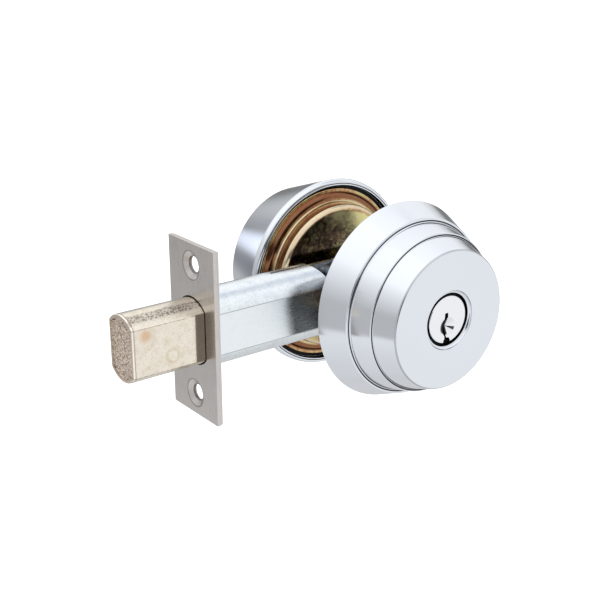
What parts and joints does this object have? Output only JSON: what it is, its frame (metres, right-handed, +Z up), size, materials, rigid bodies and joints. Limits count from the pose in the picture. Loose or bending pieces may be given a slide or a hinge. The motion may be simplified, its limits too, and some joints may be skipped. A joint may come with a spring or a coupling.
{
  "type": "deadbolt door lock",
  "caption": "Single-cylinder deadbolt with a thrown flat-sided bolt, square faceplate, stepped keyed collar outside and a tapered rose with a thumbturn inside.",
  "frame": {"origin": "where the cylinder's axis crosses the bolt's centreline, midway through the door", "axes": "+X from the door's edge into the door, so the bolt throws along -X; +Y from the keyed outside to the thumbturn inside; +Z up"},
  "size_m": [0.1295, 0.1028, 0.0684],
  "materials": {
    "satin_chrome": "satin chrome plate on brass",
    "satin_nickel": "satin nickel plate",
    "cast_nickel": "nickel plate on a cast bolt",
    "bright_zinc": "bright zinc plate",
    "yellow_zinc": "yellow zinc plate on pressed steel",
    "plug_nickel": "bright nickel plate",
    "cylinder_brass": "machined brass",
    "spring_steel": "spring steel",
    "hard_steel": "hardened steel"
  },
  "bodies": {
    "lock_case": {"faceplate": "satin_nickel", "backing_plate": "satin_nickel", "bolt_tube": "bright_zinc", "case_plate_inner": "bright_zinc", "case_plate_outer": "bright_zinc", "case_rivets": "bright_zinc", "detent_spring": "spring_steel", "outer_collar": "satin_chrome", "outer_mounting_plate": "yellow_zinc", "mounting_posts": "yellow_zinc", "collar_screws": "bright_zinc", "cylinder_shell": "cylinder_brass", "spring_cover": "cylinder_brass", "driver_pins": "cylinder_brass", "pin_springs": "spring_steel", "inner_mounting_plate": "yellow_zinc", "mounting_screws": "yellow_zinc", "inner_rose": "satin_chrome", "rose_set_screw": "hard_steel", "thumbturn_washer": "spring_steel"},
    "bolt": {"deadbolt": "cast_nickel", "roller_pin": "cast_nickel", "bolt_tail": "bright_zinc", "tail_rivets": "bright_zinc"},
    "saw_roller": {"bolt_roller": "hard_steel"},
    "crank": {"crank_hub": "bright_zinc", "crank_pin": "hard_steel"},
    "key_plug": {"cylinder_plug": "plug_nickel", "bottom_pins": "cylinder_brass", "plug_clip": "spring_steel", "tailpiece": "cylinder_brass", "tailpiece_screws": "hard_steel"},
    "turn_knob": {"thumbturn": "satin_chrome", "thumbturn_clip": "spring_steel"}
  },
  "joints": [
    {"name": "thumbturn_turn", "type": "hinge", "parent": "lock_case", "child": "turn_knob", "pos_m": [0, 0.03, 0], "axis": [0, -1, 0], "range_deg": [0, 90]},
    {"name": "crank_turn", "type": "hinge", "parent": "lock_case", "child": "crank", "pos_m": [0, 0, 0], "axis": [0, -1, 0], "range_deg": [0, 90], "deforming": ["detent_spring"]},
    {"name": "key_turn", "type": "hinge", "parent": "lock_case", "child": "key_plug", "pos_m": [0, -0.03, 0], "axis": [0, -1, 0], "range_deg": [0, 90]},
    {"name": "bolt_throw", "type": "slide", "parent": "lock_case", "child": "bolt", "axis": [1, 0, 0], "range_m": [0, 0.0254]},
    {"name": "roller_spin", "type": "hinge", "parent": "bolt", "child": "saw_roller", "pos_m": [-0.0761, 0, 0.0009], "axis": [1, 0, 0], "continuous": true}
  ],
  "couplings": [
    {"joint": "thumbturn_turn", "follows": "bolt_throw", "rad_per_m": 61.842},
    {"joint": "crank_turn", "follows": "bolt_throw", "rad_per_m": 61.842},
    {"joint": "key_turn", "follows": "bolt_throw", "rad_per_m": 61.842}
  ]
}
